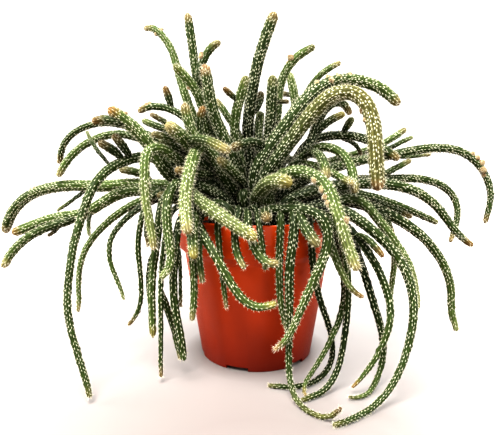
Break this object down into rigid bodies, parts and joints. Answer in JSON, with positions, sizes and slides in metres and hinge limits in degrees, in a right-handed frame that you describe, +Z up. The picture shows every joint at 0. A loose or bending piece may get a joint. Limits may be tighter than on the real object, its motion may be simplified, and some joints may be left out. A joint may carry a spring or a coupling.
{
  "type": "potted rhipsalis horrida",
  "caption": "Bristly trailing rhipsalis cactus, its arching ribbed stems spilling over a round tapered plastic nursery pot.",
  "frame": {"origin": "on the pot's axis, in the plane of its base", "axes": "+Z up along the pot's axis; -Y towards the side that the picture shows; +X to the right as seen from there"},
  "size_m": [0.3982, 0.2491, 0.2613],
  "materials": {
    "terracotta_plastic": "satin",
    "potting_soil": "loose dark potting mix",
    "cactus_skin": "ribbed green skin with pale bristles"
  },
  "bodies": {
    "root": {"nursery_pot": "terracotta_plastic", "potting_soil": "potting_soil", "stem_back_1": "cactus_skin", "stem_back_2": "cactus_skin", "stem_back_3": "cactus_skin", "stem_back_4": "cactus_skin", "stem_back_5": "cactus_skin", "stem_back_6": "cactus_skin", "stem_back_7": "cactus_skin", "stem_front_cross": "cactus_skin", "stem_front_hook": "cactus_skin", "stem_front_plumb": "cactus_skin", "stem_front_ring": "cactus_skin", "stem_front_shoulder": "cactus_skin", "stem_front_stub": "cactus_skin", "stem_front_swing": "cactus_skin", "stem_front_up_left": "cactus_skin", "stem_front_yellow": "cactus_skin", "stem_hang_fuzzy": "cactus_skin", "stem_hang_hook": "cactus_skin", "stem_hang_inner": "cactus_skin", "stem_hang_outer": "cactus_skin", "stem_hang_pale": "cactus_skin", "stem_hang_rim": "cactus_skin", "stem_hang_straight": "cactus_skin", "stem_hang_yellow": "cactus_skin", "stem_left_bend": "cactus_skin", "stem_left_high": "cactus_skin", "stem_left_long_drop": "cactus_skin", "stem_left_low_reach": "cactus_skin", "stem_left_outer_arch": "cactus_skin", "stem_left_reach": "cactus_skin", "stem_right_curl": "cactus_skin", "stem_right_dark_arch": "cactus_skin", "stem_right_far_arch": "cactus_skin", "stem_right_far_drop": "cactus_skin", "stem_right_floor_trail": "cactus_skin", "stem_right_fuzzy_arch": "cactus_skin", "stem_right_great_arch": "cactus_skin", "stem_right_level": "cactus_skin", "stem_right_loop": "cactus_skin", "stem_right_orange_tip": "cactus_skin", "stem_right_pink_arch": "cactus_skin", "stem_right_slant": "cactus_skin", "stem_right_twin": "cactus_skin", "stem_right_wide_drop": "cactus_skin", "stem_top_back": "cactus_skin", "stem_top_blunt": "cactus_skin", "stem_top_far_left": "cactus_skin", "stem_top_lean": "cactus_skin", "stem_top_left": "cactus_skin", "stem_top_middle": "cactus_skin", "stem_top_pink": "cactus_skin", "stem_top_short": "cactus_skin", "stem_top_slim": "cactus_skin", "stem_top_tall": "cactus_skin"}
  },
  "joints": []
}
